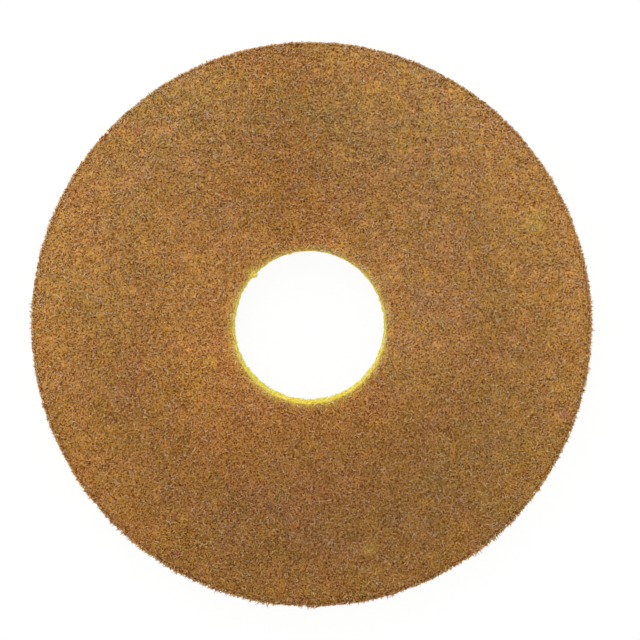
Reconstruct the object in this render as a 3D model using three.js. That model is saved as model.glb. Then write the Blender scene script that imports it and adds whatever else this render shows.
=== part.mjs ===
// A round floor polishing pad: a springy disc of bonded nonwoven fibre web with a large centre hole.
// The web is dyed yellow. A brown abrasive resin is sprayed on one face and soaks a few
// millimetres in, so the cut walls and the back stay yellow. The pad lies on its back with the
// abrasive face up. Millimetres, +Z up, origin at the middle of the back face.
import * as THREE from "three";

// The die-cut disc
const PAD_DIAMETER = 305; // mean of the slightly oval rim
const OUT_OF_ROUND = 2.6; // how much longer the rim is along Y than along X
const PAD_THICKNESS = 25;
const HOLE_DIAMETER = 83; // takes the centre lock of the machine's pad driver
const HOLE_SHIFT_X = -1.3; // the hole is punched a little off the middle of the disc
const HOLE_SHIFT_Y = 0.5;

// The abrasive coat and the lofty web under it
const COAT_DEPTH = 4; // how far the resin soaks in from the abrasive face
const EDGE_ROUND = 2; // the cut fibres comb over at the edges of the abrasive face
const LOFT = 0.9; // from the deepest hollow of the abrasive face to its highest tuft
const RIM_FRAY = 1.2; // from the deepest nick of the outer wall to its proudest fibre bundle
const HOLE_FRAY = 0.5; // the same for the wall of the hole

// The mark of a tie that held the punched-out middle until it was torn away
const TEAR_ANGLE = 137; // degrees from +X
const TEAR_WIDTH = 7;
const TEAR_DEPTH = 3.5; // how far the coat is torn back from the hole
const STUB_LENGTH = 1.2; // how far the torn web stands into the hole

// How finely the web's tufts are drawn
const SPOKES = 136;
const FACE_RINGS = 27; // spaced so that a tuft is as long as it is wide, from the hole to the rim
const WALL_RINGS = 3;
const EDGE_RINGS = 2;
const TUFT_SCATTER = 0.4; // how far a tuft strays from its place, as a share of its own width

const padRadius = PAD_DIAMETER / 2;
const holeRadius = HOLE_DIAMETER / 2;
const seamHeight = PAD_THICKNESS - COAT_DEPTH;
const edgeRound = Math.min(EDGE_ROUND, COAT_DEPTH - LOFT);
const spokeAngle = (2 * Math.PI) / SPOKES;
const innerTufts = holeRadius + edgeRound;
const outerTufts = padRadius - edgeRound;
const ringGrowth = (outerTufts / innerTufts) ** (1 / FACE_RINGS);

// A number from -0.5 to 0.5 that belongs to one spoke at one level, the same on every run.
function scatter(level, spoke) {
  return THREE.MathUtils.seededRandom(level * SPOKES + spoke + 1) - 0.5;
}

// 1 in the middle of the torn tie, falling smoothly to 0 at its sides.
function tearShare(angle) {
  const off = angle - THREE.MathUtils.degToRad(TEAR_ANGLE);
  const along = Math.atan2(Math.sin(off), Math.cos(off)) * holeRadius;
  return 1 - THREE.MathUtils.smoothstep(Math.abs(along), 0, TEAR_WIDTH / 2);
}

// Where a point of a round disc with its hole in the middle lies on the real one. The rim is a
// soft oval and the hole is off the middle: a tuft shares in each by how near it lies to it.
function placed(radius, angle, height) {
  const rimShare = (radius - holeRadius) / (padRadius - holeRadius);
  const ovalRadius = radius - (rimShare * OUT_OF_ROUND * Math.cos(2 * angle)) / 4;
  const x = ovalRadius * Math.cos(angle) + (1 - rimShare) * HOLE_SHIFT_X;
  const y = ovalRadius * Math.sin(angle) + (1 - rimShare) * HOLE_SHIFT_Y;
  return new THREE.Vector3(x, y, height);
}

// Where one point of the section lies at one spoke.
// Both layers read the same scatter at the seam, so their walls meet fibre to fibre.
function workedPoint(point, spoke) {
  let { radius, height } = point;
  let angle = spoke * spokeAngle;
  if (point.part === "rim") radius += RIM_FRAY * scatter(point.level, spoke);
  if (point.part === "hole") {
    radius -= HOLE_FRAY * scatter(point.level, spoke);
    if (point.torn === "back") radius += TEAR_DEPTH * tearShare(angle);
    if (point.torn === "out") radius -= STUB_LENGTH * tearShare(angle);
  }
  if (point.part === "tuft") {
    height -= LOFT * (scatter(point.level, spoke) + 0.5);
    radius *= 1 + TUFT_SCATTER * (ringGrowth - 1) * scatter(point.level + 0.25, spoke);
    angle += TUFT_SCATTER * spokeAngle * scatter(point.level + 0.5, spoke);
  }
  return placed(radius, angle, height);
}

// A turned surface has every quad cut along the same diagonal. Cutting every other one along the
// other diagonal keeps the tufts from leaning one way.
function alternateDiagonals(geometry, quadsPerSpoke) {
  const index = geometry.getIndex();
  const entries = index.count / (SPOKES * quadsPerSpoke); // two triangles, so six to a quad
  for (let first = 0, quad = 0; first < index.count; first += entries, quad++) {
    const spoke = Math.floor(quad / quadsPerSpoke);
    const row = quad % quadsPerSpoke;
    if ((spoke + row) % 2 === 0) continue;
    const [a, b, d, c] = index.array.slice(first, first + entries);
    index.set([a, b, c, a, c, d], first);
  }
}

// A closed section turned round the axis, with each spoke worked a little differently.
function turnedWeb(section) {
  const closed = [...section, section[0]];
  const outline = closed.map(({ radius, height }) => new THREE.Vector2(radius, height));
  const geometry = new THREE.LatheGeometry(outline, SPOKES).rotateX(Math.PI / 2);
  const place = geometry.getAttribute("position");
  for (let n = 0; n < place.count; n++) {
    const spoke = Math.floor(n / closed.length) % SPOKES;
    place.setXYZ(n, ...workedPoint(closed[n % closed.length], spoke));
  }
  alternateDiagonals(geometry, section.length);
  geometry.computeVertexNormals();
  return geometry;
}

// Points up a cut wall from one height to another, both ends included.
function wall(part, radius, from, to, rings, firstLevel, torn) {
  return Array.from({ length: rings + 1 }, (_, n) => ({
    part,
    radius,
    height: THREE.MathUtils.lerp(from, to, n / rings),
    level: firstLevel + n,
    torn,
  }));
}

// Points round a combed-over edge, from the wall up to the abrasive face.
function combedEdge(part, wallRadius, inwards, firstLevel, torn) {
  return Array.from({ length: EDGE_RINGS + 1 }, (_, n) => {
    const turn = (n / EDGE_RINGS) * (Math.PI / 2);
    return {
      part,
      radius: wallRadius + inwards * edgeRound * (1 - Math.cos(turn)),
      height: PAD_THICKNESS - edgeRound * (1 - Math.sin(turn)) - LOFT / 2,
      level: firstLevel + n,
      torn,
    };
  });
}

// Levels number the rings of points, so that each ring has its own scatter.
const SEAM_LEVEL = WALL_RINGS;
const EDGE_LEVEL = SEAM_LEVEL + 1;
const HOLE_LEVELS = EDGE_LEVEL + EDGE_RINGS + 1; // the hole's rings follow the rim's
const FACE_LEVEL = 2 * HOLE_LEVELS;

// The yellow web from the back face up to the depth that the resin reaches.
function webSection() {
  const rim = wall("rim", padRadius, 0, seamHeight, WALL_RINGS, 0);
  const hole = wall("hole", holeRadius, 0, seamHeight, WALL_RINGS, HOLE_LEVELS, "out");
  return [...rim, ...hole.reverse()];
}

// The resin-soaked layer, with its tufted abrasive face.
function coatSection() {
  const rimSeam = { part: "rim", radius: padRadius, height: seamHeight, level: SEAM_LEVEL };
  const holeSeam = { ...rimSeam, part: "hole", radius: holeRadius, level: HOLE_LEVELS + SEAM_LEVEL };
  const rimEdge = combedEdge("rim", padRadius, -1, EDGE_LEVEL);
  const holeEdge = combedEdge("hole", holeRadius, 1, HOLE_LEVELS + EDGE_LEVEL, "back");
  const tufts = Array.from({ length: FACE_RINGS - 1 }, (_, n) => ({
    part: "tuft",
    radius: outerTufts / ringGrowth ** (n + 1),
    height: PAD_THICKNESS,
    level: FACE_LEVEL + n,
  }));
  return [rimSeam, ...rimEdge, ...tufts, ...holeEdge.reverse(), { ...holeSeam, torn: "back" }];
}

function layer(name, section, finish) {
  const mesh = new THREE.Mesh(turnedWeb(section), new THREE.MeshStandardMaterial(finish));
  mesh.name = name;
  return mesh;
}

const pad = new THREE.Group();
pad.add(layer("web_body", webSection(), { color: 0xecd952, roughness: 0.9, metalness: 0 }));
pad.add(layer("abrasive_face", coatSection(), { color: 0x9b6f3e, roughness: 0.95, metalness: 0 }));

export default pad;
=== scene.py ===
"""Dresses a floor polishing pad: a thick ring of nonwoven fibre web with one face coated brown.

Two ring bodies of felt carry the pad's bulk, and short curly fibres lie over every side of them:
coated brown on the abrasive face, bare yellow on the back and on the cut walls.
"""

import logging
import math
from dataclasses import dataclass, field
from enum import Enum

import bpy
import numpy as np
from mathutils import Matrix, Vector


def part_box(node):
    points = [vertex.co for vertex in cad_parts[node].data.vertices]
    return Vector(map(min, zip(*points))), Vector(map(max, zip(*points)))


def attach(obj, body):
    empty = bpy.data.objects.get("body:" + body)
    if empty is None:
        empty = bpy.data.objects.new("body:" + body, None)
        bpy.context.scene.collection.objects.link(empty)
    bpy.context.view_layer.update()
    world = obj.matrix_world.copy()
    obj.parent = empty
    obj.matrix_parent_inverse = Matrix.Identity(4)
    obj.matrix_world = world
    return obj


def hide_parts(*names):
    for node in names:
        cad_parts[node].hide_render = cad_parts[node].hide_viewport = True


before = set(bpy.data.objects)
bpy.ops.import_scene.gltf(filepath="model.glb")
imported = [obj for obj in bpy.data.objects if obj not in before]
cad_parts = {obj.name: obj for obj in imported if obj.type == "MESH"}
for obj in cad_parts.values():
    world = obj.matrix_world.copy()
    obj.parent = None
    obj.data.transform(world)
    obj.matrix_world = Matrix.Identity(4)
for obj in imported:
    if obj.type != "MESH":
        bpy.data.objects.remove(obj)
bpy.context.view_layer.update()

log = logging.getLogger("pad")

MM = 0.001
BODY = "root"
Colour = tuple[float, float, float, float]


class Side(Enum):
    """The four sides of the pad that fibres lie on."""

    FACE = "abrasive face"
    BACK = "back"
    RIM = "outer cut wall"
    HOLE = "wall of the centre hole"


class Slot(Enum):
    """The pad's two material slots."""

    COAT = "brown_coat"
    WEB = "yellow_web"


def paint(code: str) -> Colour:
    """Turn a colour as it looks on a screen into the linear colour that a shader takes.

    The numbers are those of the sRGB curve.

    Args:
        code: six hexadecimal digits, red, green and blue.

    Returns:
        Linear red, green, blue and an alpha of 1.
    """
    parts = [int(code[n : n + 2], 16) / 255 for n in (0, 2, 4)]
    linear = [p / 12.92 if p <= 0.04045 else ((p + 0.055) / 1.055) ** 2.4 for p in parts]
    return (*linear, 1.0)


def smooth(values: np.ndarray, low: float, high: float) -> np.ndarray:
    """Rise smoothly from 0 at low to 1 at high.

    Args:
        values: the numbers to place between the two limits.
        low: where the rise starts.
        high: where it ends.

    Returns:
        The share of the rise at each number.
    """
    share = np.clip((values - low) / (high - low), 0.0, 1.0)
    return share * share * (3.0 - 2.0 * share)


def cloud(points: np.ndarray, size: float, seed: int) -> np.ndarray:
    """Read soft random values out of a repeating block of noise.

    Args:
        points: places, with x, y and z along the last axis.
        size: the width of one lump of the noise, in metres.
        seed: chooses the block.

    Returns:
        A value from -1 to 1 at each place.
    """
    block = 48
    lattice = np.random.default_rng(seed).uniform(-1.0, 1.0, (block, block, block))
    cell = np.floor(points / size).astype(int)
    part = smooth(points / size - cell, 0.0, 1.0)
    total = np.zeros(points.shape[:-1])
    for corner in np.ndindex(2, 2, 2):
        step = np.array(corner)
        weight = np.prod(np.where(step, part, 1.0 - part), axis=-1)
        i, j, k = np.moveaxis((cell + step) % block, -1, 0)
        total += weight * lattice[i, j, k]
    return total


# Specks of rose-coloured foreign fibre on the face: how far each reaches, by its middle
SPECKS = {
    (-92.5 * MM, 106.6 * MM): 1.4 * MM,
    (-89.3 * MM, 68.7 * MM): 1.2 * MM,
    (-73.7 * MM, -123.7 * MM): 1.7 * MM,
    (-75.1 * MM, -103.0 * MM): 0.8 * MM,
    (137.6 * MM, -46.9 * MM): 1.3 * MM,
}
# Spots where the coat is thin and some yellow shows through
THIN_SPOTS = {
    (32.5 * MM, -121.3 * MM): 6.0 * MM,
    (-53.8 * MM, -17.9 * MM): 4.0 * MM,
    (120.4 * MM, 58.5 * MM): 9.0 * MM,
}
SPOT_CORE = 0.4  # the share of a spot's reach that it fills wholly


def spot_share(points: np.ndarray, spots: dict[tuple[float, float], float]) -> np.ndarray:
    """Say how much a place belongs to one of several spots on the face.

    Args:
        points: places, with x, y and z along the last axis.
        spots: the reach of each spot by its middle.

    Returns:
        1 in the middle of a spot, 0 away from all of them.
    """
    share = np.zeros(points.shape[:-1])
    for (x, y), size in spots.items():
        apart = np.hypot(points[..., 0] - x, points[..., 1] - y)
        share = np.maximum(share, 1 - smooth(apart, SPOT_CORE * size, size))
    return share


@dataclass(frozen=True)
class PadForm:
    """The pad's own form, which every layer and fibre follows. Angles run from +X towards +Y."""

    rim_radius: float
    out_of_round: float
    thickness: float
    seam: float
    hole_radius: float = 41.5 * MM
    hole_shift: tuple[float, float] = (-1.3 * MM, 0.5 * MM)
    edge_round: float = 2.0 * MM
    tear_angle: float = math.radians(136.0)
    tear_half_width: float = 3.3 * MM
    tear_reach: float = 5.0 * MM  # how far the coat is torn back from the hole
    tear_yellow: float = 0.6  # how much yellow shows where the tie was torn
    thin_yellow: float = 0.14  # the same in the thin spots
    edge_yellow: float = 0.27  # the same at the very edge of the hole
    edge_yellow_width: float = 4.5 * MM
    hole_coat: tuple[float, float] = (0.4 * MM, 7.5 * MM)  # the depths over which the coat fades
    rim_coat: tuple[float, float] = (2.6 * MM, 5.0 * MM)
    ragged_depth: float = 0.8 * MM
    ragged_size: float = 1.5 * MM

    @classmethod
    def from_frame(cls) -> "PadForm":
        """Read the pad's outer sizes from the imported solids.

        Returns:
            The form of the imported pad.
        """
        web_low, web_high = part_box("web_body")
        _, face_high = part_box("abrasive_face")
        width, length = (web_high[n] - web_low[n] for n in (0, 1))
        return cls(
            rim_radius=(width + length) / 4,
            out_of_round=length - width,
            thickness=face_high[2],
            seam=web_high[2],
        )

    def rim_at(self, angle: np.ndarray) -> np.ndarray:
        """Give the rim's radius at an angle: a soft oval, longer along Y."""
        return self.rim_radius - self.out_of_round / 4 * np.cos(2 * angle)

    def off_centre(self, points: np.ndarray) -> np.ndarray:
        """Move the hole to where the punch landed, and what lies round it by less and less.

        Args:
            points: places on a pad whose hole is in the middle.

        Returns:
            The same places on the real pad.
        """
        radius = np.hypot(points[..., 0], points[..., 1])
        share = 1 - (radius - self.hole_radius) / (self.rim_radius - self.hole_radius)
        shift = np.array([*self.hole_shift, 0.0])
        return points + np.clip(share, 0.0, 1.0)[..., None] * shift

    def edge_drop(self, inset: np.ndarray) -> np.ndarray:
        """Give how far the combed edge has dropped below the face, this far in from a wall."""
        out = np.clip(self.edge_round - inset, 0.0, self.edge_round)
        return self.edge_round - np.sqrt(self.edge_round**2 - out**2)

    def tear(self, points: np.ndarray) -> np.ndarray:
        """Say how much a place belongs to the torn tie at the hole's edge.

        Args:
            points: places, with x, y and z along the last axis.

        Returns:
            1 in the middle of the tear, 0 outside it.
        """
        towards = np.array([math.cos(self.tear_angle), math.sin(self.tear_angle)])
        out = points[..., :2] @ towards
        across = points[..., 0] * towards[1] - points[..., 1] * towards[0]
        beside = 1 - smooth(np.abs(across), 0.5 * self.tear_half_width, self.tear_half_width)
        reach = self.hole_radius + self.tear_reach
        return beside * (1 - smooth(out, reach - self.edge_round, reach)) * (out > 0)

    def bareness(self, points: np.ndarray, depth: np.ndarray | float = 0.0) -> np.ndarray:
        """Say how much yellow web shows through the coat.

        The coat thins out over the rounded edge of the hole, and wraps deeper over the rim.

        Args:
            points: places, with x, y and z along the last axis.
            depth: how far each place lies under the pad's surface.

        Returns:
            0 where the coat covers the fibres, 1 where they are bare.
        """
        radius = np.hypot(points[..., 0], points[..., 1])
        below = self.thickness - points[..., 2] - depth
        ragged = self.ragged_depth * cloud(points, self.ragged_size, seed=5)
        hole_fade = smooth(below + ragged, *self.hole_coat)
        edge_fade = 1 - smooth(radius - self.hole_radius, 0.0, self.edge_yellow_width)
        hole_fade = np.maximum(hole_fade, self.edge_yellow * edge_fade)
        rim_fade = smooth(below + ragged, *self.rim_coat)
        near_hole = radius < (self.hole_radius + self.rim_radius) / 2
        bare = np.where(near_hole, hole_fade, rim_fade)
        bare = np.maximum(bare, self.tear_yellow * self.tear(points))
        return np.maximum(bare, self.thin_yellow * spot_share(points, THIN_SPOTS))


@dataclass(frozen=True)
class Patch:
    """A broad patch or belt of changed colour on the face, strongest in its middle."""

    strength: float
    middle: tuple[float, float] = (0.0, 0.0)
    spread: tuple[float, float] = (math.inf, math.inf)

    def at(self, points: np.ndarray) -> np.ndarray:
        """Give the change at each place.

        Args:
            points: places, with x, y and z along the last axis.

        Returns:
            The strength in the patch's middle, falling off to 0 away from it.
        """
        x = (points[..., 0] - self.middle[0]) / self.spread[0]
        y = (points[..., 1] - self.middle[1]) / self.spread[1]
        return self.strength * np.exp(-(x**2) - y**2)


@dataclass(frozen=True)
class Fade:
    """A change of colour that comes in smoothly from one distance to another."""

    strength: float
    start: float
    end: float

    def at(self, distance: np.ndarray) -> np.ndarray:
        """Give the change at each distance, from 0 at the start to the strength at the end."""
        return self.strength * smooth(distance, self.start, self.end)


@dataclass(frozen=True)
class Mottle:
    """A cloudy change of colour, lighter here and darker there."""

    strength: float
    size: float
    seed: int

    def at(self, points: np.ndarray) -> np.ndarray:
        """Give the change at each place, whatever its height."""
        return self.strength * cloud(points * [1, 1, 0], self.size, self.seed)


@dataclass(frozen=True)
class Shading:
    """Broad changes of colour over the abrasive face: lighter and darker tone, rosy or ochre hue, cool or
    warm brown. The darkening towards the foot is partly painted shade and partly the coat's own tone, and the
    lighter lip round the hole is painted light.
    """

    hole_glow: Fade = Fade(0.07, 60.0 * MM, 20.0 * MM)  # by how far above or below the middle
    glow_radius: float = 80.0 * MM
    rim_glow: Fade = Fade(0.08, 90.0 * MM, 150.0 * MM)
    # painted light: the coat and the wall fibres lighter on the lip round the hole
    lip_painted_light: Fade = Fade(0.09, 47.0 * MM, 42.0 * MM)
    dark_band: Patch = Patch(-0.1, (-14.0 * MM, 0.0), (30.0 * MM, math.inf))
    band_start: Fade = Fade(1.0, 10.0 * MM, 80.0 * MM)
    # partly painted shade, partly the coat's own tone: darker towards the foot, and in a belt below the hole
    foot_shade_and_tone: Fade = Fade(-0.22, 20.0 * MM, 160.0 * MM)
    belt_shade_and_tone: Patch = Patch(-0.06, (0.0, -45.0 * MM), (math.inf, 50.0 * MM))
    tone_mottles: tuple[Mottle, ...] = (Mottle(0.02, 14.0 * MM, 11), Mottle(0.02, 6.0 * MM, 12))
    hue_base: float = 0.53
    ochre_belt: Patch = Patch(0.2, (0.0, 10.0 * MM), (math.inf, 70.0 * MM))
    belt_decline: Fade = Fade(-0.5, -150.0 * MM, 150.0 * MM)
    ochre_rim: Fade = Fade(0.22, 80.0 * MM, 140.0 * MM)
    rosy_foot: Patch = Patch(-0.35, (-5.0 * MM, -110.0 * MM), (70.0 * MM, 35.0 * MM))
    hue_mottles: tuple[Mottle, ...] = (Mottle(0.3, 9.0 * MM, 32), Mottle(0.15, 4.0 * MM, 31))
    warm_base: float = 0.4
    warm_middle: Patch = Patch(0.42, (-25.0 * MM, -8.0 * MM), (72.0 * MM, 62.0 * MM))
    warm_rim: Fade = Fade(0.25, 105.0 * MM, 150.0 * MM)
    cool_top: Fade = Fade(-0.17, 60.0 * MM, 130.0 * MM)
    cool_foot: Fade = Fade(-0.3, 40.0 * MM, 135.0 * MM)
    foot_slant: float = 0.3
    warm_mottle: Mottle = Mottle(0.1, 16.0 * MM, 33)

    def tone(self, points: np.ndarray) -> np.ndarray:
        """Give the broad change of tone at each place: lighter round the hole and at the rim, darker towards
        the foot (partly painted shade, partly the coat's own tone), and lighter on the hole's lip (painted
        light).

        Args:
            points: places, with x, y and z along the last axis.

        Returns:
            The change, in shares of the whole range from dark to light.
        """
        y = points[..., 1]
        radius = np.hypot(points[..., 0], y)
        return (
            self.hole_glow.at(np.abs(y)) * np.exp(-((radius / self.glow_radius) ** 4))
            + self.rim_glow.at(radius)
            + self.lip_painted_light.at(radius)
            + self.dark_band.at(points) * self.band_start.at(y)
            + self.foot_shade_and_tone.at(-y)
            + self.belt_shade_and_tone.at(points)
            + sum(mottle.at(points) for mottle in self.tone_mottles)
        )

    def hue(self, points: np.ndarray) -> np.ndarray:
        """Give how far each place leans from rosy brown towards ochre.

        It leans to ochre most across the middle and at the rim, and to rosy brown at the foot.

        Args:
            points: places, with x, y and z along the last axis.

        Returns:
            0 for rosy brown, 1 for ochre, and a little past both.
        """
        x = points[..., 0]
        radius = np.hypot(x, points[..., 1])
        return (
            self.hue_base
            + self.ochre_belt.at(points) * (1 + self.belt_decline.at(x))
            + self.ochre_rim.at(radius)
            + self.rosy_foot.at(points)
            + sum(mottle.at(points) for mottle in self.hue_mottles)
        )

    def warmth(self, points: np.ndarray) -> np.ndarray:
        """Give how warm the coat's brown is, which it is most round the hole and at the rim.

        Args:
            points: places, with x, y and z along the last axis.

        Returns:
            0 for cool brown, 1 for warm brown.
        """
        x, y = points[..., 0], points[..., 1]
        warm = (
            self.warm_base
            + self.warm_middle.at(points)
            + self.warm_rim.at(np.hypot(x, y))
            + self.cool_top.at(y)
            + self.cool_foot.at(self.foot_slant * x - y)
            + self.warm_mottle.at(points)
        )
        return np.clip(warm, 0, 1)


class Nodes:
    """A short way to add and join the nodes of one material."""

    def __init__(self, name: str) -> None:
        """Start a material with an empty node tree."""
        self.material = bpy.data.materials.new(name)
        self.material.use_nodes = True
        self.tree = self.material.node_tree
        self.tree.nodes.clear()

    def add(self, kind: str, inputs: dict | None = None, **settings: object) -> bpy.types.Node:
        """Add one node.

        Args:
            kind: the node's type, without ShaderNode.
            inputs: socket names or numbers, each with a value or another node's output.
            settings: properties of the node itself.

        Returns:
            The new node.
        """
        node = self.tree.nodes.new("ShaderNode" + kind)
        for name, value in settings.items():
            setattr(node, name, value)
        for name, value in (inputs or {}).items():
            if isinstance(value, bpy.types.NodeSocket):
                self.tree.links.new(value, node.inputs[name])
            else:
                node.inputs[name].default_value = value
        return node

    def math(self, operation: str, *values: object) -> bpy.types.NodeSocket:
        """Add one calculation and return its result."""
        return self.add("Math", dict(enumerate(values)), operation=operation).outputs[0]

    def ramp(self, share: bpy.types.NodeSocket, stops: dict[float, Colour]) -> bpy.types.NodeSocket:
        """Turn a number from 0 to 1 into a colour.

        Args:
            share: the number.
            stops: the colour at each share, in rising order.

        Returns:
            The colour's socket.
        """
        node = self.add("ValToRGB", {"Fac": share})
        elements = node.color_ramp.elements
        while len(elements) < len(stops):
            elements.new(0.5)
        for element, (place, colour) in zip(elements, stops.items()):
            element.position = place
            element.color = colour
        return node.outputs["Color"]

    def blend(self, share: object, first: object, second: object, how: str = "MIX") -> bpy.types.NodeSocket:
        """Mix two colours by a share and return the result."""
        inputs = {"Factor": share, 6: first, 7: second}
        return self.add("Mix", inputs, data_type="RGBA", blend_type=how).outputs[2]

    def reading(self, name: str) -> bpy.types.NodeSocket:
        """Read a number that the mesh holds at each of its points."""
        return self.add("Attribute", attribute_name=name).outputs["Fac"]


@dataclass(frozen=True)
class WebFinish:
    """Nonwoven web: crimped fibres, bare yellow or coated with brown resin and abrasive grit."""

    name: str
    # The palest colours of the rosy and ochre ramps stand partly for painted sheen on the fibres' tops,
    # partly for paler fibres.
    rosy: tuple[str, str, str] = ("a35e1e", "eca867", "f9d1bf")
    ochre: tuple[str, str, str] = ("9f6311", "e7ad53", "f3d4a3")
    yellow: tuple[str, str, str] = ("f0ce30", "fff054", "fffab0")
    cool: str = "daefff"
    warm: str = "fff9e5"
    knot: str = "c46c6c"
    # Painted shade: darkest in the pits, lighter in the hollows between the clumps
    pit_shade: str = "5d3707"
    hollow_shade: str = "a87b3e"
    plain: str = "ffffff"  # the clumps of resin, which keep the coat's own colour
    hollow_size: float = 0.95 * MM
    hollow_limits: tuple[float, float] = (0.33, 0.5)  # the noise's levels in a hollow and on a clump
    hollow_light: float = 0.5  # how light a hollow is, if no pit lies in it
    pit_spacing: float = 2.1 * MM
    pit_limits: tuple[float, float] = (0.1, 0.27)  # a pit's core and edge, in shares of the spacing
    pit_width: float = 0.3  # as a share of the pit's height
    grit_size: float = 0.45 * MM
    grit_depth: float = 0.12 * MM
    grit_strength: float = 0.8
    roughness: tuple[float, float] = (0.6, 0.9)
    gloss: float = 0.3

    def coat_and_web(self, nodes: Nodes, tone: bpy.types.NodeSocket) -> bpy.types.NodeSocket:
        """Colour the web by its tone, its hue and how bare it is.

        Args:
            nodes: the material that the nodes go into.
            tone: 0 in the dark hollows, 1 on the lightest fibres.

        Returns:
            The colour's socket.
        """
        rosy, ochre, yellow = (
            nodes.ramp(tone, dict(zip((0.0, 0.5, 1.0), map(paint, codes))))
            for codes in (self.rosy, self.ochre, self.yellow)
        )
        coat = nodes.blend(nodes.reading("hue"), rosy, ochre)
        stain = nodes.blend(nodes.reading("warm"), paint(self.cool), paint(self.warm))
        coat = nodes.blend(1.0, coat, stain, "MULTIPLY")
        # Painted shade: darker between the clumps of resin and darkest in the pits.
        coat = nodes.blend(1.0, coat, self.hollows(nodes), "MULTIPLY")
        coat = nodes.blend(nodes.reading("knot"), coat, paint(self.knot))
        return nodes.blend(nodes.reading("bare"), coat, yellow)

    def hollows(self, nodes: Nodes) -> bpy.types.NodeSocket:
        """Paint shade into the coat between its clumps of resin, and darker shade still in small round pits.

        Args:
            nodes: the material that the nodes go into.

        Returns:
            A colour to multiply the coat by, white on the clumps.
        """
        place = nodes.add("TexCoord").outputs["Object"]
        noise = nodes.add("TexNoise", {"Vector": place, "Scale": 1 / self.hollow_size, "Detail": 1.0})
        low, high = self.hollow_limits
        level = {"Value": noise.outputs["Fac"], "From Min": low, "From Max": high}
        clumps = nodes.add("MapRange", {**level, "To Min": self.hollow_light}).outputs[0]
        upright = nodes.add("Mapping", {"Vector": place, "Scale": (1.0, 1.0, self.pit_width)})
        cells = nodes.add("TexVoronoi", {"Vector": upright.outputs[0], "Scale": 1 / self.pit_spacing})
        core, edge = self.pit_limits
        level = {"Value": cells.outputs["Distance"], "From Min": core, "From Max": edge}
        pits = nodes.add("MapRange", level).outputs[0]
        shades = {0.0: paint(self.pit_shade), self.hollow_light: paint(self.hollow_shade), 1.0: paint(self.plain)}
        return nodes.ramp(nodes.math("MULTIPLY", clumps, pits), shades)

    def material(self) -> bpy.types.Material:
        """Make the finish for the fibres.

        Returns:
            The material.
        """
        nodes = Nodes(self.name)
        place = nodes.add("TexCoord").outputs["Object"]
        grit = nodes.add("TexNoise", {"Vector": place, "Scale": 1 / self.grit_size, "Detail": 2.0})
        colour = self.coat_and_web(nodes, nodes.reading("tone"))
        return self.finished(nodes, colour, grit.outputs["Fac"])

    def finished(
        self, nodes: Nodes, colour: bpy.types.NodeSocket, height: bpy.types.NodeSocket
    ) -> bpy.types.Material:
        """Close a material with its shader, its roughness and its relief.

        Args:
            nodes: the material's nodes.
            colour: the surface's colour.
            height: the fine relief, from 0 to 1.

        Returns:
            The material.
        """
        low, high = self.roughness
        rough = nodes.add("MapRange", {"Value": height, "To Min": high, "To Max": low}).outputs[0]
        bump = {"Height": height, "Distance": self.grit_depth, "Strength": self.grit_strength}
        relief = nodes.add("Bump", bump).outputs[0]
        surface = {"Base Color": colour, "Roughness": rough, "Normal": relief}
        shader = nodes.add("BsdfPrincipled", {**surface, "Specular IOR Level": self.gloss})
        nodes.add("OutputMaterial", {"Surface": shader.outputs[0]})
        return nodes.material


@dataclass(frozen=True)
class FeltFinish(WebFinish):
    """The web's depths, seen between the fibres: fine curls of fibre over dark pits, made dark by painted
    shade, with each lower layer of curls dimmer.
    """

    curl_size: float = 1.0 * MM
    curl_width: float = 0.05
    curl_bend: float = 0.8
    curl_layers: int = 3
    layer_shift: tuple[float, float, float] = (0.37, 0.71, 0.13)
    # painted shade: how much dimmer each lower layer of curls is
    layer_shade: float = 0.2
    pit_spacing: float = 1.8 * MM  # closer than in the coat, for both kinds of pit
    # painted shade: a pit between the curls falls to the depths' dark tone
    felt_pit: float = 0.3  # the reach of a pit between the curls, as a share of the spacing
    # painted shade: the dark tone of the felt's depths, between the curls and in the pits
    depth_shade_tone: float = 0.1
    curl_tone: float = 0.6
    middle_tone: float = 0.5  # the held tone that leaves the felt as it is

    def curls(self, nodes: Nodes, place: bpy.types.NodeSocket) -> bpy.types.NodeSocket:
        """Draw the curly fibres as thin level lines of soft noise, in several layers.

        Args:
            nodes: the material that the nodes go into.
            place: the coordinates of the surface.

        Returns:
            How much a point lies on a fibre, from 0 to 1, with painted shade making each lower layer dimmer.
        """
        top = None
        for layer in range(self.curl_layers):
            shift = tuple(layer * step for step in self.layer_shift)
            moved = nodes.add("Mapping", {"Vector": place, "Location": shift}).outputs[0]
            wave = {"Vector": moved, "Scale": 1 / self.curl_size, "Detail": 1.0, "Distortion": self.curl_bend}
            level = nodes.add("TexNoise", wave).outputs["Fac"]
            off = nodes.math("ABSOLUTE", nodes.math("SUBTRACT", level, 0.5))
            # Painted shade: each lower layer of curls is dimmer.
            edges = {"From Max": self.curl_width, "To Min": 1.0 - self.layer_shade * layer, "To Max": 0.0}
            line = nodes.add("MapRange", {"Value": off, **edges}).outputs[0]
            top = line if top is None else nodes.math("MAXIMUM", top, line)
        return top

    def material(self) -> bpy.types.Material:
        """Make the finish for the felt bodies.

        Returns:
            The material.
        """
        nodes = Nodes(self.name)
        place = nodes.add("TexCoord").outputs["Object"]
        curls = self.curls(nodes, place)
        # Painted shade: the felt is dark between the curls and in the pits, lightest on the upper curls.
        cells = nodes.add("TexVoronoi", {"Vector": place, "Scale": 1 / self.pit_spacing})
        reach = {"Value": cells.outputs["Distance"], "From Max": self.felt_pit}
        pits = nodes.add("MapRange", reach).outputs[0]
        light = nodes.math("MULTIPLY", curls, self.curl_tone)
        tone = nodes.math("ADD", nodes.math("MULTIPLY", light, pits), self.depth_shade_tone)
        change = nodes.math("SUBTRACT", nodes.reading("tone"), self.middle_tone)
        tone = nodes.math("ADD", tone, change)
        return self.finished(nodes, self.coat_and_web(nodes, tone), curls)


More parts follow.
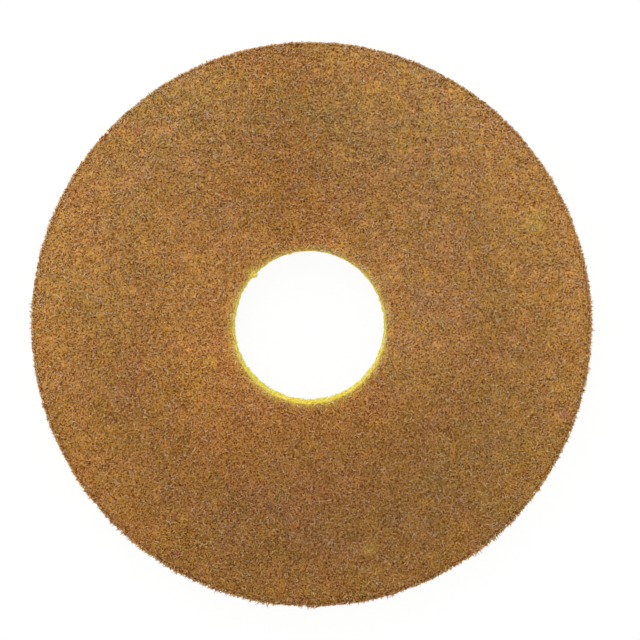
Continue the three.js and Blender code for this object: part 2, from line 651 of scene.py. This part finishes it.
def mesh_object(name: str, points: np.ndarray, faces: list) -> bpy.types.Object:
    """Make a smooth-shaded piece that rides on the pad's one body.

    Args:
        name: the piece's name.
        points: its points, one per row.
        faces: point numbers of each face.

    Returns:
        The new object.
    """
    mesh = bpy.data.meshes.new(name)
    mesh.from_pydata(points, [], faces)
    mesh.polygons.foreach_set("use_smooth", np.ones(len(mesh.polygons), bool))
    piece = bpy.data.objects.new(name, mesh)
    bpy.context.scene.collection.objects.link(piece)
    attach(piece, BODY)
    return piece


def hold_numbers(mesh: bpy.types.Mesh, numbers: dict[str, np.ndarray]) -> None:
    """Keep named numbers at the points of a mesh, for its material to read.

    Args:
        mesh: the mesh.
        numbers: by name, one number for each of its points.
    """
    for name, values in numbers.items():
        layer = mesh.attributes.new(name, "FLOAT", "POINT")
        layer.data.foreach_set("value", np.ascontiguousarray(values, np.float32).ravel())


@dataclass
class FeltRing:
    """A closed ring of felt: the bulk of the web, just under the fibres that lie on it."""

    name: str
    slot: Slot
    form: PadForm
    bottom: float
    top: float
    rounded: bool
    inset: float = 0.9 * MM
    spokes: int = 288
    spacing: float = 2.1 * MM
    lump: float = 2.4 * MM
    relief: float = 0.3 * MM
    corner_stops: int = 3
    tear_sink: float = 1.2 * MM

    def section(self) -> np.ndarray:
        """Walk round the ring's cross-section.

        Returns:
            One row per point: 1 if it belongs to the rim and 0 if to the hole, how far in from that
            wall it is, and its height.
        """
        corner = self.form.edge_round if self.rounded else 0.0
        walls = np.arange(self.bottom, self.top - corner, self.spacing)
        width = self.form.rim_radius - self.form.hole_radius - 2 * self.inset
        inner = np.arange(corner, (width - self.spacing) / 2, self.spacing)
        turn = np.linspace(0, math.pi / 2, self.corner_stops + 1)[:-1]
        bend_in = corner * (1 - np.cos(turn)) if self.rounded else np.empty(0)
        bend_up = self.top - corner * (1 - np.sin(turn)) if self.rounded else np.empty(0)
        half = [
            np.column_stack([np.zeros_like(walls), walls]),
            np.column_stack([bend_in, bend_up]),
            np.column_stack([inner, np.full_like(inner, self.top)]),
        ]
        up = np.vstack(half)
        under = np.column_stack([inner[1:], np.full(len(inner) - 1, self.bottom)])[::-1]
        rim = np.vstack([under, up])
        hole = rim[::-1]
        rim_rows = np.column_stack([np.ones(len(rim)), rim])
        hole_rows = np.column_stack([np.zeros(len(hole)), hole])
        return np.vstack([rim_rows, hole_rows])

    def points(self) -> np.ndarray:
        """Turn the section round the axis and make it lumpy.

        Returns:
            The points, by spoke and by place in the section.
        """
        side, inwards, height = self.section().T
        angle = np.linspace(0, 2 * math.pi, self.spokes, endpoint=False)[:, None]
        rim = self.form.rim_at(angle) - self.inset - inwards
        hole = self.form.hole_radius + self.inset + inwards
        radius = np.where(side > 0, rim, hole)
        level = np.broadcast_to(height, radius.shape)
        spots = np.stack([radius * np.cos(angle), radius * np.sin(angle), level], axis=-1)
        lumps = self.relief * cloud(spots, self.lump, seed=21)
        wall = inwards < self.form.edge_round / 2
        out = np.where(side > 0, 1.0, -1.0) * lumps * wall
        spots[..., 0] += out * np.cos(angle)
        spots[..., 1] += out * np.sin(angle)
        spots[..., 2] += lumps * ~wall * np.where(height > (self.top + self.bottom) / 2, 1.0, -1.0)
        spots[..., 2] -= self.tear_sink * self.form.tear(spots) * (height > self.form.seam)
        return spots

    def build(self, finish: FeltFinish, shading: Shading) -> bpy.types.Object:
        """Build the ring and dress it.

        Args:
            finish: the felt's finish.
            shading: the broad changes of tone.

        Returns:
            The finished piece.
        """
        points = self.points()
        spokes, around = points.shape[:2]
        number = np.arange(spokes * around).reshape(spokes, around)
        next_spoke = np.roll(number, -1, axis=0)
        ends = [number, next_spoke, np.roll(next_spoke, -1, axis=1), np.roll(number, -1, axis=1)]
        faces = np.stack(ends, axis=-1).reshape(-1, 4)
        flat = points.reshape(-1, 3)
        piece = mesh_object(self.name, self.form.off_centre(flat), faces.tolist())
        hold_numbers(
            piece.data,
            {
                "tone": finish.middle_tone + shading.tone(flat),
                "hue": np.clip(shading.hue(flat), 0, 1),
                "warm": shading.warmth(flat),
                "knot": spot_share(flat, SPECKS),
                "bare": self.form.bareness(flat, 2 * self.inset),
            },
        )
        piece.data.materials.append(finish.material())
        return piece


@dataclass
class FibreLayer:
    """Short crimped fibres lying on one side of the pad, each a closed three-sided strand."""

    name: str
    slot: Slot
    side: Side
    form: PadForm
    count: int
    seed: int
    depth: tuple[float, float]
    length: tuple[float, float] = (2.8 * MM, 5.6 * MM)
    thickness: tuple[float, float] = (0.34 * MM, 0.6 * MM)
    overhang: float = 0.25 * MM
    undulation: float = 0.2 * MM
    crimp: float = 1.0  # how far a fibre turns to and fro, in radians
    crimp_length: float = 3.4 * MM
    crimp_spread: tuple[float, float] = (0.7, 1.4)
    bend_radius: float = 5.0 * MM
    lie: float | None = None  # how far fibres stray from lying round the wall; None for any way
    swings: tuple[float, float] = (0.6, 1.6)  # how many times a fibre sinks and rises
    swing_start: float = 6.0  # the furthest on in its swing that a fibre starts, in radians
    wall_margins: tuple[float, float] = (0.3 * MM, 0.5 * MM)  # at the foot and the top of a wall
    rim_margin: float = 0.3 * MM
    kept_share: float = 0.25  # the shortest cut fibre that stays, as a share of its whole
    tear_sink: float = 1.4 * MM
    tone: float = 0.5
    tone_spread: float = 0.14
    hue_spread: float = 0.24
    segments: int = 4
    trace: int = 24
    beading: float = 0.3
    random: np.random.Generator = field(init=False)

    def __post_init__(self) -> None:
        """Start the layer's own stream of random numbers."""
        self.random = np.random.default_rng(self.seed)

    def wall_radius(self, angle: np.ndarray) -> np.ndarray:
        """Give the radius of the cut wall that this layer lies on.

        Args:
            angle: the way round the pad.

        Returns:
            The wall's radius at each angle.
        """
        if self.side is Side.RIM:
            return self.form.rim_at(angle)
        return np.full_like(angle, self.form.hole_radius)

    def middles(self) -> np.ndarray:
        """Scatter the fibres' middles evenly over the side.

        Returns:
            One row per fibre: x and y on a flat side, or the way round and the height on a wall.
        """
        share = self.random.random((self.count, 2))
        if self.side in (Side.RIM, Side.HOLE):
            radius = self.form.rim_radius if self.side is Side.RIM else self.form.hole_radius
            return share * [2 * math.pi * radius, self.form.thickness]
        hole, rim = self.form.hole_radius, self.form.rim_radius
        radius = np.sqrt(hole**2 + share[:, 0] * (rim**2 - hole**2))
        angle = 2 * math.pi * share[:, 1]
        return np.column_stack([radius * np.cos(angle), radius * np.sin(angle)])

    def wander(self) -> np.ndarray:
        """Let each fibre wander over the side from its middle, crimping as it goes.

        Returns:
            The traced places, by fibre and step, as middles() gives them.
        """
        fibres = (self.count, 1)
        length = self.random.uniform(*self.length, fibres)
        along = np.linspace(-0.5, 0.5, self.trace + 1) * length
        heading = self.random.uniform(0, 2 * math.pi, fibres)
        if self.lie is not None:
            heading = self.random.normal(0, self.lie, fibres)
        bend = self.random.normal(0, 1 / self.bend_radius, fibres)
        phase = self.random.uniform(0, 2 * math.pi, fibres)
        pace = 2 * math.pi / (self.crimp_length * self.random.uniform(*self.crimp_spread, fibres))
        heading = heading + bend * along + self.crimp * np.sin(pace * along + phase)
        step = length / self.trace
        ways = np.stack([np.cos(heading), np.sin(heading)], axis=-1) * step[..., None]
        path = np.cumsum(ways, axis=1)
        return self.middles()[:, None] + path - path[:, self.trace // 2, None]

    def on_side(self, places: np.ndarray) -> np.ndarray:
        """Say which traced places are still on the side: the die cuts off the rest.

        Args:
            places: the traced places, by fibre and step.

        Returns:
            True for each place that is on the side.
        """
        slack = self.random.exponential(self.overhang, (len(places), 1))
        if self.side in (Side.RIM, Side.HOLE):
            height = places[..., 1]
            foot, top = self.wall_margins
            return (height > foot) & (height < self.form.thickness - top)
        radius = np.hypot(places[..., 0], places[..., 1])
        rim = self.form.rim_at(np.arctan2(places[..., 1], places[..., 0]))
        return (radius > self.form.hole_radius - slack / 2) & (radius < rim - self.rim_margin + slack)

    def cut(self, places: np.ndarray) -> np.ndarray:
        """Cut the fibres where they leave the side, and space each one's points evenly.

        Args:
            places: the traced places, by fibre and step.

        Returns:
            The points of the fibres that are long enough to keep.
        """
        inside = self.on_side(places)
        step = np.arange(self.trace + 1)
        middle = self.trace // 2
        first = np.where(~inside & (step < middle), step, -1).max(axis=1) + 1
        last = np.where(~inside & (step > middle), step, self.trace + 1).min(axis=1) - 1
        kept = inside[:, middle] & (last - first >= self.kept_share * self.trace)
        places, first, last = places[kept], first[kept], last[kept]
        share = np.linspace(0, 1, self.segments + 1)
        where = first[:, None] + (last - first)[:, None] * share
        before = np.minimum(np.floor(where).astype(int), self.trace - 1)
        part = (where - before)[..., None]
        rows = np.arange(len(places))[:, None]
        return places[rows, before] * (1 - part) + places[rows, before + 1] * part

    def settle(self, places: np.ndarray) -> tuple[np.ndarray, np.ndarray, np.ndarray]:
        """Lay the fibres on the pad.

        Args:
            places: the fibres' points on the side.

        Returns:
            Their points in space, the way out of the pad at each, and each one's depth.
        """
        fibres = (len(places), 1)
        turn = np.linspace(0, 2 * math.pi, self.segments + 1) * self.random.uniform(*self.swings, fibres)
        swing = np.sin(turn + self.random.uniform(0, self.swing_start, fibres))
        depth = self.random.uniform(*self.depth, fibres) + self.undulation * (1 + swing)
        if self.side in (Side.RIM, Side.HOLE):
            outwards = 1.0 if self.side is Side.RIM else -1.0
            mean = self.form.rim_radius if self.side is Side.RIM else self.form.hole_radius
            angle = places[..., 0] / mean
            level = places[..., 1]
            drop = self.form.edge_drop(self.form.thickness - level)
            radius = self.wall_radius(angle) - outwards * (depth + drop)
            way = np.stack([np.cos(angle), np.sin(angle), np.zeros_like(angle)], axis=-1)
            points = way * radius[..., None]
            points[..., 2] = level
            return points, way * outwards, depth
        x, y = places[..., 0], places[..., 1]
        radius = np.hypot(x, y)
        rim_inset = self.form.rim_at(np.arctan2(y, x)) - radius
        drop = self.form.edge_drop(np.minimum(rim_inset, radius - self.form.hole_radius))
        height = self.form.thickness - drop - depth
        if self.side is Side.BACK:
            height = depth
        points = np.stack([x, y, height], axis=-1)
        points[..., 2] -= self.tear_sink * self.form.tear(points) * (self.side is Side.FACE)
        way = np.zeros_like(points)
        way[..., 2] = 1.0 if self.side is Side.FACE else -1.0
        return points, way, depth

    def build(self, finish: WebFinish, shading: Shading) -> bpy.types.Object:
        """Build the layer and dress it.

        Args:
            finish: the fibres' finish.
            shading: the broad changes of tone.

        Returns:
            The finished piece.
        """
        points, way, depth = self.settle(self.cut(self.wander()))
        fibres, stops = points.shape[:2]
        radius = self.random.uniform(*self.thickness, (fibres, 1)) / 2
        beads = 1 + self.beading * self.random.uniform(-1, 1, (fibres, stops))
        surface = points + way * depth[..., None]
        own_tone = self.random.normal(self.tone, self.tone_spread, (fibres, 1))
        own_hue = self.random.normal(0, self.hue_spread, (fibres, 1))
        numbers = {
            "tone": np.clip(own_tone + shading.tone(points), 0, 1),
            "hue": np.clip(shading.hue(points) + own_hue, 0, 1),
            "warm": shading.warmth(points),
            "knot": spot_share(points, SPECKS),
            "bare": self.form.bareness(surface),
        }
        placed = self.form.off_centre(points)
        return strands(self.name, placed, way, radius * beads, numbers, finish)


STRAND_SIDES = 3
PATCH_MARGIN = 0.06  # round a strand in its patch of the bake, as a share of the patch
TINY = 1e-9  # keeps a division by a length of nothing from failing


def strands(
    name: str,
    points: np.ndarray,
    way: np.ndarray,
    radius: np.ndarray,
    numbers: dict[str, np.ndarray],
    finish: WebFinish,
) -> bpy.types.Object:
    """Build many closed three-sided strands, pointed at both ends, as one piece.

    Args:
        name: the piece's name.
        points: the strands' middle lines, by strand and stop.
        way: the way out of the pad at each stop.
        radius: the strand's radius at each stop.
        numbers: named numbers at each stop, for the material.
        finish: the strands' finish.

    Returns:
        The finished piece.
    """
    count, stops = points.shape[:2]
    along = np.gradient(points, axis=1)
    along /= np.maximum(np.linalg.norm(along, axis=-1, keepdims=True), TINY)
    across = np.cross(along, way)
    across /= np.maximum(np.linalg.norm(across, axis=-1, keepdims=True), TINY)
    up = np.cross(across, along)
    turns = np.radians(90 + 360 / STRAND_SIDES * np.arange(STRAND_SIDES))
    ring = across[:, :, None] * np.cos(turns)[:, None] + up[:, :, None] * np.sin(turns)[:, None]
    rings = points[:, :, None] + ring * radius[:, :, None, None]
    body = rings[:, 1:-1].reshape(count, -1, 3)
    corners = np.concatenate([points[:, :1], body, points[:, -1:]], axis=1)
    own, own_uv = strand_faces(stops)
    per_strand = corners.shape[1]
    faces = [
        [first + corner for corner in face]
        for first in range(0, count * per_strand, per_strand)
        for face in own
    ]
    piece = mesh_object(name, corners.reshape(-1, 3), faces)
    held = {}
    for key, values in numbers.items():
        at_stops = np.broadcast_to(values, (count, stops))
        round_stops = np.repeat(at_stops[:, 1:-1], STRAND_SIDES, axis=1)
        held[key] = np.concatenate([at_stops[:, :1], round_stops, at_stops[:, -1:]], axis=1)
    hold_numbers(piece.data, held)
    columns = math.ceil(math.sqrt(count))
    cell = np.stack(np.divmod(np.arange(count), columns), axis=-1)[:, None]
    layout = piece.data.uv_layers.new(name="OFBake")
    layout.uv.foreach_set("vector", ((cell + own_uv) / columns).astype(np.float32).ravel())
    piece.data.materials.append(finish.material())
    return piece


def strand_faces(stops: int) -> tuple[list[list[int]], np.ndarray]:
    """List the faces of one strand and where each lies in the strand's patch of the bake.

    Args:
        stops: how many points the strand's middle line has.

    Returns:
        Point numbers of each face, and the place of each of their corners in a unit square.
    """
    last = 1 + STRAND_SIDES * (stops - 2)
    room = 1 - 2 * PATCH_MARGIN
    faces, places = [], []

    def corner(stop: int, side: int) -> int:
        """Number the point at a stop between the ends and a side, counted from the first end."""
        return 1 + STRAND_SIDES * (stop - 1) + side % STRAND_SIDES

    def spot(stop: int, side: float) -> tuple[float, float]:
        """Place a corner in the unit square."""
        return (PATCH_MARGIN + room * side / STRAND_SIDES, PATCH_MARGIN + room * stop / (stops - 1))

    for stop in range(stops - 1):
        for side in range(STRAND_SIDES):
            if stop == 0:
                faces.append([0, corner(1, side), corner(1, side + 1)])
                places += [spot(0, side + 0.5), spot(1, side), spot(1, side + 1)]
            elif stop == stops - 2:
                faces.append([corner(stop, side), last, corner(stop, side + 1)])
                places += [spot(stop, side), spot(stop + 1, side + 0.5), spot(stop, side + 1)]
            else:
                ends = [(stop, side), (stop + 1, side), (stop + 1, side + 1), (stop, side + 1)]
                faces.append([corner(*end) for end in ends])
                places += [spot(*end) for end in ends]
    return faces, np.array(places)


@dataclass
class FrayedRim:
    """Cut fibre ends that stand out of the rim, combed one way and longest at the foot."""

    form: PadForm
    count: int = 8200
    seed: int = 71
    heights: tuple[float, float] = (19.5 * MM, 24.3 * MM)
    root: float = 1.6 * MM
    shortest: float = 0.3 * MM  # the usual reach at the pad's far edge
    longest: float = 0.9 * MM  # the usual reach at its foot
    cap: float = 1.9  # the furthest that an end stands out, as a share of its usual reach
    least: float = 0.2  # how far every end stands out, as a share of its usual reach
    usual: float = 0.55  # how much further most stand, as a share of the same
    patchiness: float = 0.8
    patch_size: float = 11.0 * MM
    comb: float = math.radians(-22)
    comb_spread: float = math.radians(30)
    curl: tuple[float, float] = (0.4, 0.9)  # the share of the comb at the root, and what it grows by
    climb: float = 0.25  # how steeply an end rises or falls
    margins: tuple[float, float] = (0.5 * MM, 0.4 * MM)  # kept clear at the back and the face
    thickness: tuple[float, float] = (0.35 * MM, 0.6 * MM)
    tone: float = 0.5
    tone_spread: float = 0.15
    segments: int = 3

    def build(self, finish: WebFinish, shading: Shading) -> bpy.types.Object:
        """Build the frayed ends and dress them.

        Args:
            finish: the fibres' finish.
            shading: the broad changes of tone.

        Returns:
            The finished piece.
        """
        random = np.random.default_rng(self.seed)
        ends = (self.count, 1)
        angle = random.uniform(0, 2 * math.pi, ends)
        level = random.uniform(*self.heights, ends)
        foot = 0.5 - 0.5 * np.sin(angle)
        stand = self.shortest + (self.longest - self.shortest) * foot
        rim = np.stack([np.cos(angle), np.sin(angle), np.zeros_like(angle)], axis=-1)
        patches = cloud(self.form.rim_radius * rim, self.patch_size, seed=72)
        stand = stand * (1 + self.patchiness * patches)
        own = np.minimum(self.least + random.exponential(self.usual, ends), self.cap)
        reach = self.root + stand * own
        lean = self.comb + random.normal(0, self.comb_spread, ends)
        share = np.linspace(0, 1, self.segments + 1)
        out = reach * share
        turn = lean * (self.curl[0] + self.curl[1] * share)
        start = self.form.rim_at(angle) - self.root - self.form.edge_drop(self.form.thickness - level)
        x = start * np.cos(angle) + out * np.cos(angle + turn)
        y = start * np.sin(angle) + out * np.sin(angle + turn)
        z = level + out * random.normal(0, self.climb, ends)
        back, face = self.margins
        points = np.stack([x, y, np.clip(z, back, self.form.thickness - face)], axis=-1)
        way = np.zeros_like(points)
        way[..., 2] = 1.0
        radius = random.uniform(*self.thickness, ends) / 2 * np.ones_like(share)
        own_tone = random.normal(self.tone, self.tone_spread, ends)
        numbers = {
            "tone": np.clip(own_tone + shading.tone(points), 0, 1),
            "hue": random.random(ends),
            "warm": shading.warmth(points),
            "knot": np.zeros(ends),
            "bare": self.form.bareness(points),
        }
        return strands("rim_frays", points, way, radius, numbers, finish)


@dataclass
class TornTie:
    """The yellow tuft where a tie held the punched-out middle of the pad until it was torn away."""

    form: PadForm
    count: int = 260
    seed: int = 83
    reach: float = 2.3 * MM
    stub_width: float = 1.1 * MM
    bunching: float = 0.45  # how the fibres gather in the tear's middle, in shares of its half width
    roots: tuple[float, float] = (0.2, 0.6)  # where they start, in shares of the tear's reach
    stray: float = 0.5 * MM
    sway_start: float = 3.0  # the furthest on in its sway that a fibre starts, in radians
    sag: float = 0.8 * MM
    heights: tuple[float, float] = (19.8 * MM, 23.0 * MM)
    thickness: tuple[float, float] = (0.3 * MM, 0.5 * MM)
    tone: float = 0.5
    tone_spread: float = 0.2
    warm: float = 0.5
    browning: float = 0.5  # how brown the fibres' roots are
    brown_from: tuple[float, float] = (0.5 * MM, 2.5 * MM)  # how far from the hole that comes in
    segments: int = 4

    def build(self, finish: WebFinish) -> bpy.types.Object:
        """Build the tuft and dress it.

        Args:
            finish: the fibres' finish.

        Returns:
            The finished piece.
        """
        random = np.random.default_rng(self.seed)
        ends = (self.count, 1)
        share = np.linspace(0, 1, self.segments + 1)
        across = random.normal(0, self.bunching, ends) * self.form.tear_half_width
        start = self.form.hole_radius + random.uniform(*self.roots, ends) * self.form.tear_reach
        end = self.form.hole_radius - self.reach * np.exp(-((across / self.stub_width) ** 2))
        end = end + random.exponential(self.stray, ends)
        out = start + (end - start) * share
        sway = random.normal(0, self.stray, ends)
        side = across + sway * np.sin(math.pi * share + random.uniform(0, self.sway_start, ends))
        level = random.uniform(*self.heights, ends) - self.sag * share * random.random(ends)
        c, s = math.cos(self.form.tear_angle), math.sin(self.form.tear_angle)
        points = np.stack([out * c - side * s, out * s + side * c, level], axis=-1)
        way = np.zeros_like(points)
        way[..., 2] = 1.0
        radius = random.uniform(*self.thickness, ends) / 2 * np.ones_like(share)
        brown = self.browning * smooth(out - self.form.hole_radius, *self.brown_from)
        numbers = {
            "tone": np.clip(random.normal(self.tone, self.tone_spread, ends), 0, 1),
            "hue": random.random(ends),
            "warm": np.full(ends, self.warm),
            "knot": np.zeros(ends),
            "bare": 1 - brown,
        }
        placed = self.form.off_centre(points)
        return strands("torn_tie", placed, way, radius, numbers, finish)


@dataclass
class Pad:
    """The whole pad: two felt bodies and the fibres that lie on them."""

    form: PadForm
    shading: Shading = Shading()
    recess: float = 1.9 * MM  # how far the felt lies under the face and over the back

    def felts(self) -> list[bpy.types.Object]:
        """Build the two felt bodies, which stand for the two solids.

        Returns:
            The two pieces.
        """
        finish = FeltFinish("web_felt")
        form = self.form
        top = form.thickness - self.recess
        web = FeltRing("web_felt", Slot.WEB, form, bottom=self.recess, top=form.seam, rounded=False)
        coat = FeltRing("coat_felt", Slot.COAT, form, bottom=form.seam, top=top, rounded=True)
        pieces = []
        for ring, node in ((web, "web_body"), (coat, "abrasive_face")):
            piece = ring.build(finish, self.shading)
            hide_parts(node)
            pieces.append(piece)
        return pieces

    def fibres(self) -> list[bpy.types.Object]:
        """Build the layers of fibres on each side, the frayed rim and the torn tie.

        Returns:
            The pieces, with the face's layers first and from the lowest up.
        """
        finish = WebFinish("web_fibres")
        form = self.form
        # The lower layers take a darker tone: painted shade of the depth.
        low = {"count": 9600, "seed": 41, "depth": (0.9 * MM, 1.3 * MM), "tone": 0.56}
        middle = {"count": 10800, "seed": 42, "depth": (0.55 * MM, 0.9 * MM), "tone": 0.62}
        top = {"count": 10800, "seed": 43, "depth": (0.3 * MM, 0.55 * MM), "tone": 0.66}
        rim = {"count": 5600, "seed": 44, "depth": (0.15 * MM, 0.8 * MM), "lie": 0.6}
        hole = {"count": 2200, "seed": 45, "depth": (0.15 * MM, 0.8 * MM), "lie": 0.6}
        back = {"count": 3600, "seed": 46, "depth": (0.45 * MM, 1.1 * MM)}
        layers = [
            FibreLayer("coat_fibres_low", Slot.COAT, Side.FACE, form, **low),
            FibreLayer("coat_fibres_middle", Slot.COAT, Side.FACE, form, **middle),
            FibreLayer("coat_fibres_top", Slot.COAT, Side.FACE, form, **top),
            FibreLayer("rim_fibres", Slot.WEB, Side.RIM, form, **rim),
            FibreLayer("hole_fibres", Slot.WEB, Side.HOLE, form, **hole),
            FibreLayer("back_fibres", Slot.WEB, Side.BACK, form, **back),
        ]
        pieces = [layer.build(finish, self.shading) for layer in layers]
        return [*pieces, FrayedRim(form).build(finish, self.shading), TornTie(form).build(finish)]


@dataclass(frozen=True)
class Studio:
    """A plain white floor, a white world and one soft lamp above."""

    white: str = "ffffff"
    floor_grey: str = "fafafa"
    floor_size: float = 6.0
    floor_glow: float = 0.93  # the share of the floor that shines by itself, the rest takes shadow
    world_light: float = 0.92
    lamp_place: tuple[float, float, float] = (-0.15, 0.55, 0.75)
    lamp_size: float = 0.7
    lamp_power: float = 3.6

    def seen_directly(self, nodes: Nodes) -> bpy.types.NodeSocket:
        """Tell the rays that come from the camera, a mirror surface or glass from all others.

        Args:
            nodes: the material that the nodes go into.

        Returns:
            1 for those rays and 0 for the others.
        """
        path = nodes.add("LightPath")
        seen = nodes.math("MAXIMUM", path.outputs["Is Camera Ray"], path.outputs["Is Glossy Ray"])
        return nodes.math("MAXIMUM", seen, path.outputs["Is Transmission Ray"])

    def floor(self) -> bpy.types.Object:
        """Lay the floor, which keeps a faint shadow of the pad.

        Returns:
            The floor.
        """
        nodes = Nodes("white_floor")
        matte = nodes.add("BsdfDiffuse", {"Color": paint(self.floor_grey)}).outputs[0]
        white = nodes.add("Emission", {"Color": paint(self.white), "Strength": 1.0}).outputs[0]
        share = nodes.math("MULTIPLY", self.seen_directly(nodes), self.floor_glow)
        mix = nodes.add("MixShader", {0: share, 1: matte, 2: white})
        nodes.add("OutputMaterial", {"Surface": mix.outputs[0]})
        half = self.floor_size / 2
        corners = [(-half, -half, 0), (half, -half, 0), (half, half, 0), (-half, half, 0)]
        mesh = bpy.data.meshes.new("floor")
        mesh.from_pydata(corners, [], [(0, 1, 2, 3)])
        mesh.materials.append(nodes.material)
        floor = bpy.data.objects.new("floor", mesh)
        bpy.context.scene.collection.objects.link(floor)
        return floor

    def world(self) -> bpy.types.World:
        """Light the pad evenly from all round, with white behind it.

        Returns:
            The world.
        """
        world = bpy.data.worlds.new("white_room")
        world.use_nodes = True
        tree = world.node_tree
        tree.nodes.clear()
        path = tree.nodes.new("ShaderNodeLightPath")
        strength = tree.nodes.new("ShaderNodeMapRange")
        strength.inputs["To Min"].default_value = self.world_light
        strength.inputs["To Max"].default_value = 1.0
        tree.links.new(path.outputs["Is Camera Ray"], strength.inputs["Value"])
        background = tree.nodes.new("ShaderNodeBackground")
        background.inputs["Color"].default_value = paint(self.white)
        tree.links.new(strength.outputs[0], background.inputs["Strength"])
        output = tree.nodes.new("ShaderNodeOutputWorld")
        tree.links.new(background.outputs[0], output.inputs["Surface"])
        bpy.context.scene.world = world
        return world

    def lamp(self) -> bpy.types.Object:
        """Hang one large soft lamp beyond the pad's far edge, aimed at its middle.

        Returns:
            The lamp.
        """
        data = bpy.data.lights.new("soft_lamp", "AREA")
        data.size = self.lamp_size
        data.energy = self.lamp_power
        lamp = bpy.data.objects.new("soft_lamp", data)
        lamp.location = self.lamp_place
        x, y, height = self.lamp_place
        lamp.rotation_euler = (math.atan2(math.hypot(x, y), height), 0, math.atan2(x, -y))
        bpy.context.scene.collection.objects.link(lamp)
        return lamp


@dataclass(frozen=True)
class PhotoCamera:
    """The photograph's camera: almost straight above, a little towards the pad's far edge."""

    distance: float = 524.0 * MM
    tilt: float = math.radians(3.2)
    view_angle: float = math.radians(36.5)
    aim_x: float = 4.6 * MM
    aim_y: float = 4.8 * MM

    def place(self, form: PadForm) -> bpy.types.Object:
        """Set the camera over the pad and make it the scene's own.

        Args:
            form: the pad, for the height of its face.

        Returns:
            The camera.
        """
        data = bpy.data.cameras.new("photo_camera")
        data.angle = self.view_angle
        camera = bpy.data.objects.new("photo_camera", data)
        camera.location = (
            self.aim_x,
            self.aim_y + self.distance * math.sin(self.tilt),
            form.thickness + self.distance * math.cos(self.tilt),
        )
        camera.rotation_euler = (-self.tilt, 0, 0)
        bpy.context.scene.collection.objects.link(camera)
        bpy.context.scene.camera = camera
        return camera


def main() -> None:
    """Build the stage and the pad."""
    logging.basicConfig(level=logging.INFO, format="%(name)s: %(message)s")
    bpy.context.scene.view_settings.view_transform = "Standard"
    form = PadForm.from_frame()
    studio = Studio()
    for thing in (studio.floor(), studio.world(), studio.lamp(), PhotoCamera().place(form)):
        log.info("stage: %s", thing.name)
    pad = Pad(form)
    for piece in [*pad.felts(), *pad.fibres()]:
        piece.data.calc_loop_triangles()
        log.info("%s: %d triangles", piece.name, len(piece.data.loop_triangles))


if __name__ == "__main__":
    main()
